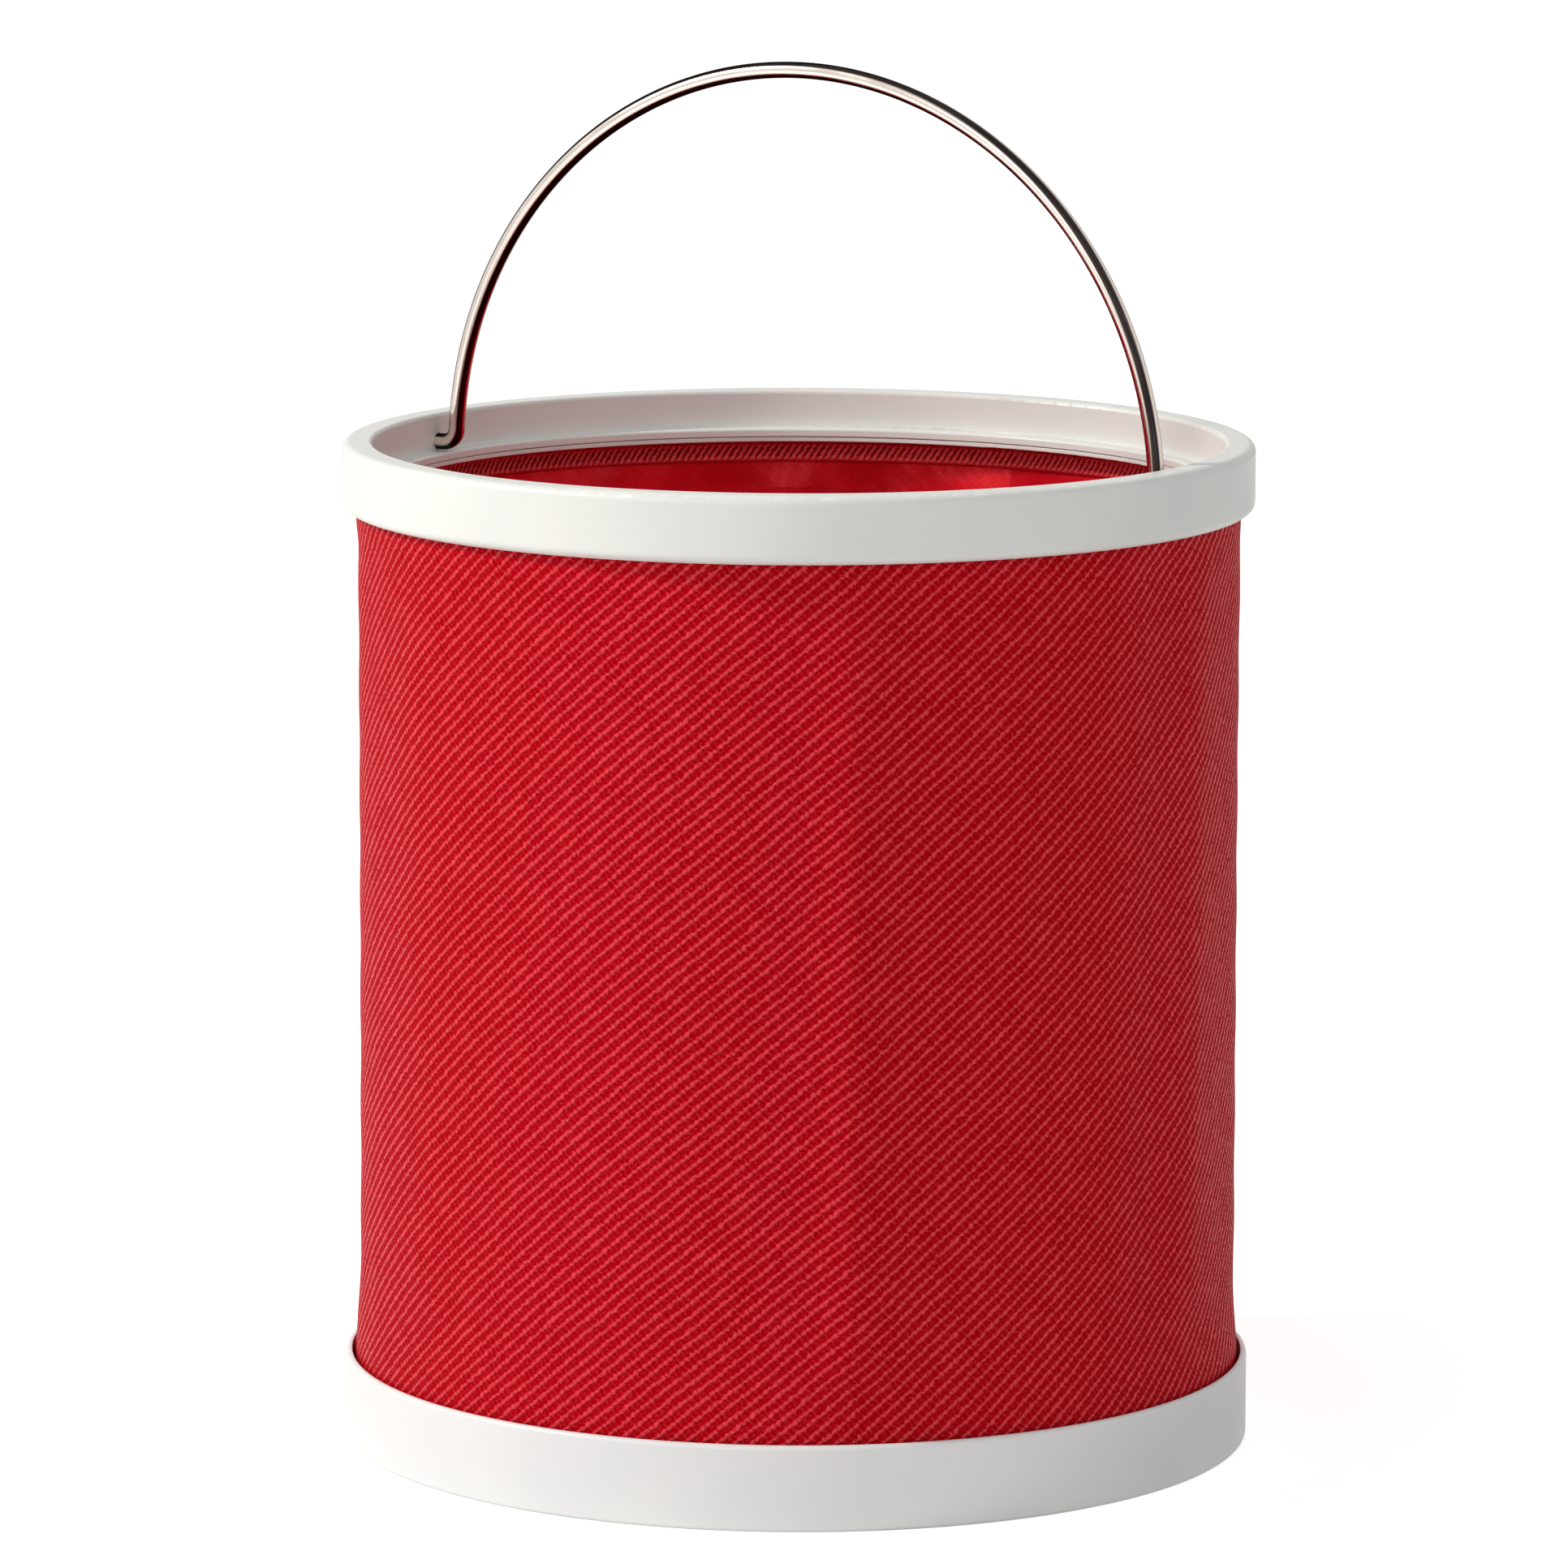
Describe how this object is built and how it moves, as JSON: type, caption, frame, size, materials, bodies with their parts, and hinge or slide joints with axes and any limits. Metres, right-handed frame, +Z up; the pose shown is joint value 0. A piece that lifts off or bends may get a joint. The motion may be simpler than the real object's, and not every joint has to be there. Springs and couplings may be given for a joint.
{
  "type": "folding wash bucket",
  "caption": "Round folding bucket: a coated fabric tube between two moulded rings, with a floor plate and an arched wire bail that swings down into the rim.",
  "frame": {"origin": "centre of the bucket's base, on the surface that it stands on", "axes": "+Z up along the bucket's axis; the bail's pivots lie on a line along X; the upright seam is at +Y, the back"},
  "size_m": [0.25, 0.25, 0.3797],
  "materials": {
    "white_plastic": "smooth moulded polypropylene, satin gloss",
    "base_plastic": "moulded polypropylene, matt",
    "coated_fabric": "red coated polyester with diagonal embossed ribs",
    "floor_fabric": "red coated polyester, smooth coated side up",
    "hem_tape": "red woven binding with slanting stitches",
    "seam_tape": "red coated tape, welded",
    "bail_steel": "polished steel wire"
  },
  "bodies": {
    "base": {"base_ring": "white_plastic", "base_plate": "base_plastic", "base_clamp_ring": "base_plastic", "floor_panel": "floor_fabric", "wall_panel": "coated_fabric", "side_seam_tape": "seam_tape"},
    "rim": {"rim_ring": "white_plastic", "rim_clamp_ring": "white_plastic", "hem_binding": "hem_tape"},
    "bail": {"bail_wire": "bail_steel"}
  },
  "joints": [
    {"name": "collapse", "type": "slide", "parent": "base", "child": "rim", "axis": [0, 0, -1], "range_m": [0, 0.2228], "deforming": ["wall_panel", "side_seam_tape"]},
    {"name": "bail_swing", "type": "hinge", "parent": "rim", "child": "bail", "pos_m": [0, 0, 0.2686], "axis": [1, 0, 0], "range_deg": [-90, 90]}
  ]
}
